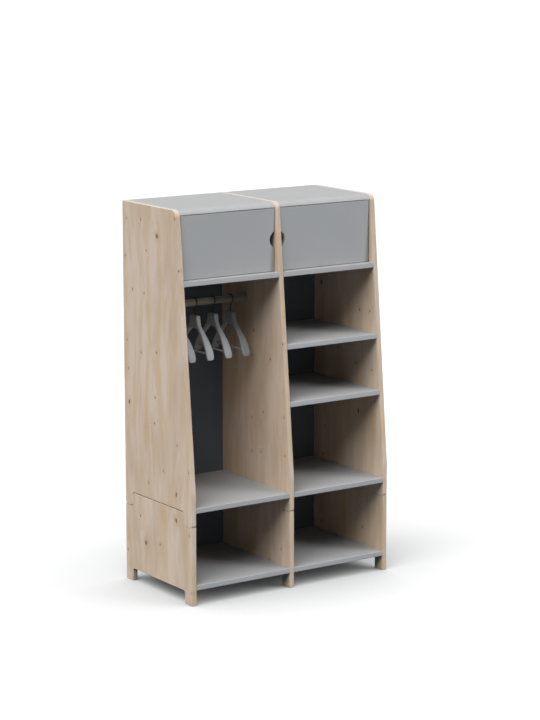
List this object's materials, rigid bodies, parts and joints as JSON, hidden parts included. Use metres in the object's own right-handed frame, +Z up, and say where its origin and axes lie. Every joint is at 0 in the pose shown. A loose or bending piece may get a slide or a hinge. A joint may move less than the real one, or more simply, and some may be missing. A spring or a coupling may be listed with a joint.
{
  "type": "double wardrobe",
  "caption": "Double wardrobe with stepped wood side panels, grey boards, top cupboards with inset doors, a hanging rail with hangers, shelves and an open stacked base.",
  "frame": {"origin": "centre of the footprint, on the floor", "axes": "+Z up, the open front faces -Y, +X to the right seen from the front"},
  "size_m": [1.135, 0.6, 1.856],
  "materials": {
    "wood_panel": "clear satin lacquer on light wood with standing grain",
    "grey_board": "plain grey laminate, satin",
    "dark_board": "plain dark grey laminate, satin",
    "grey_lacquer": "grey satin lacquer",
    "dark_wire": "dark burnished wire",
    "zinc_steel": "zinc plated",
    "white_nylon": "moulded nylon"
  },
  "bodies": {
    "carcass": {"upper_side_panel_left": "wood_panel", "base_side_panel_left": "wood_panel", "upper_side_panel_middle": "wood_panel", "base_side_panel_middle": "wood_panel", "upper_side_panel_right": "wood_panel", "base_side_panel_right": "wood_panel", "stacking_dowel_left_front": "wood_panel", "stacking_dowel_left_back": "wood_panel", "stacking_dowel_middle_front": "wood_panel", "stacking_dowel_middle_back": "wood_panel", "stacking_dowel_right_front": "wood_panel", "stacking_dowel_right_back": "wood_panel", "top_board_left": "grey_board", "cupboard_floor_left": "grey_board", "upper_bottom_board_left": "grey_board", "base_bottom_board_left": "grey_board", "top_board_right": "grey_board", "cupboard_floor_right": "grey_board", "upper_bottom_board_right": "grey_board", "base_bottom_board_right": "grey_board", "low_shelf": "grey_board", "low_shelf_pin_1": "zinc_steel", "low_shelf_pin_2": "zinc_steel", "low_shelf_pin_3": "zinc_steel", "low_shelf_pin_4": "zinc_steel", "high_shelf": "grey_board", "high_shelf_pin_1": "zinc_steel", "high_shelf_pin_2": "zinc_steel", "high_shelf_pin_3": "zinc_steel", "high_shelf_pin_4": "zinc_steel", "upper_back_left": "dark_board", "base_back_left": "dark_board", "upper_back_right": "dark_board", "base_back_right": "dark_board", "door_left_pivot_bottom": "zinc_steel", "door_left_pivot_top": "zinc_steel", "door_right_pivot_bottom": "zinc_steel", "door_right_pivot_top": "zinc_steel", "door_catch_left": "white_nylon", "door_catch_right": "white_nylon", "hanging_rail": "wood_panel"},
    "door_left": {"door_left": "grey_board", "door_left_bush_bottom": "white_nylon", "door_left_bush_top": "white_nylon"},
    "door_right": {"door_right": "grey_board", "door_right_bush_bottom": "white_nylon", "door_right_bush_top": "white_nylon"},
    "hook_1": {"hanger_1_hook": "dark_wire"},
    "hanger_1": {"hanger_1_body": "grey_lacquer", "hanger_1_bar": "grey_lacquer"},
    "hook_2": {"hanger_2_hook": "dark_wire"},
    "hanger_2": {"hanger_2_body": "grey_lacquer", "hanger_2_bar": "grey_lacquer"},
    "hook_3": {"hanger_3_hook": "dark_wire"},
    "hanger_3": {"hanger_3_body": "grey_lacquer", "hanger_3_bar": "grey_lacquer"},
    "hook_4": {"hanger_4_hook": "dark_wire"},
    "hanger_4": {"hanger_4_body": "grey_lacquer", "hanger_4_bar": "grey_lacquer"}
  },
  "joints": [
    {"name": "door_left_hinge", "type": "hinge", "parent": "carcass", "child": "door_left", "pos_m": [-0.5315, -0.166, 1.6785], "axis": [0, 0, -1], "range_deg": [0, 90]},
    {"name": "door_right_hinge", "type": "hinge", "parent": "carcass", "child": "door_right", "pos_m": [0.5315, -0.166, 1.6785], "axis": [0, 0, 1], "range_deg": [0, 90]},
    {"name": "hook_1_slide", "type": "slide", "parent": "carcass", "child": "hook_1", "axis": [1, 0, 0], "range_m": [-0.012, 0.012]},
    {"name": "hanger_1_swivel", "type": "hinge", "parent": "hook_1", "child": "hanger_1", "pos_m": [-0.406, 0.078, 1.29], "axis": [0, 0, 1], "range_deg": [-6, 6]},
    {"name": "hook_2_slide", "type": "slide", "parent": "carcass", "child": "hook_2", "axis": [1, 0, 0], "range_m": [-0.012, 0.012]},
    {"name": "hanger_2_swivel", "type": "hinge", "parent": "hook_2", "child": "hanger_2", "pos_m": [-0.304, 0.078, 1.29], "axis": [0, 0, 1], "range_deg": [-6, 6]},
    {"name": "hook_3_slide", "type": "slide", "parent": "carcass", "child": "hook_3", "axis": [1, 0, 0], "range_m": [-0.012, 0.012]},
    {"name": "hanger_3_swivel", "type": "hinge", "parent": "hook_3", "child": "hanger_3", "pos_m": [-0.202, 0.078, 1.29], "axis": [0, 0, 1], "range_deg": [-6, 6]},
    {"name": "hook_4_slide", "type": "slide", "parent": "carcass", "child": "hook_4", "axis": [1, 0, 0], "range_m": [-0.012, 0.012]},
    {"name": "hanger_4_swivel", "type": "hinge", "parent": "hook_4", "child": "hanger_4", "pos_m": [-0.1, 0.078, 1.29], "axis": [0, 0, 1], "range_deg": [-6, 6]}
  ]
}
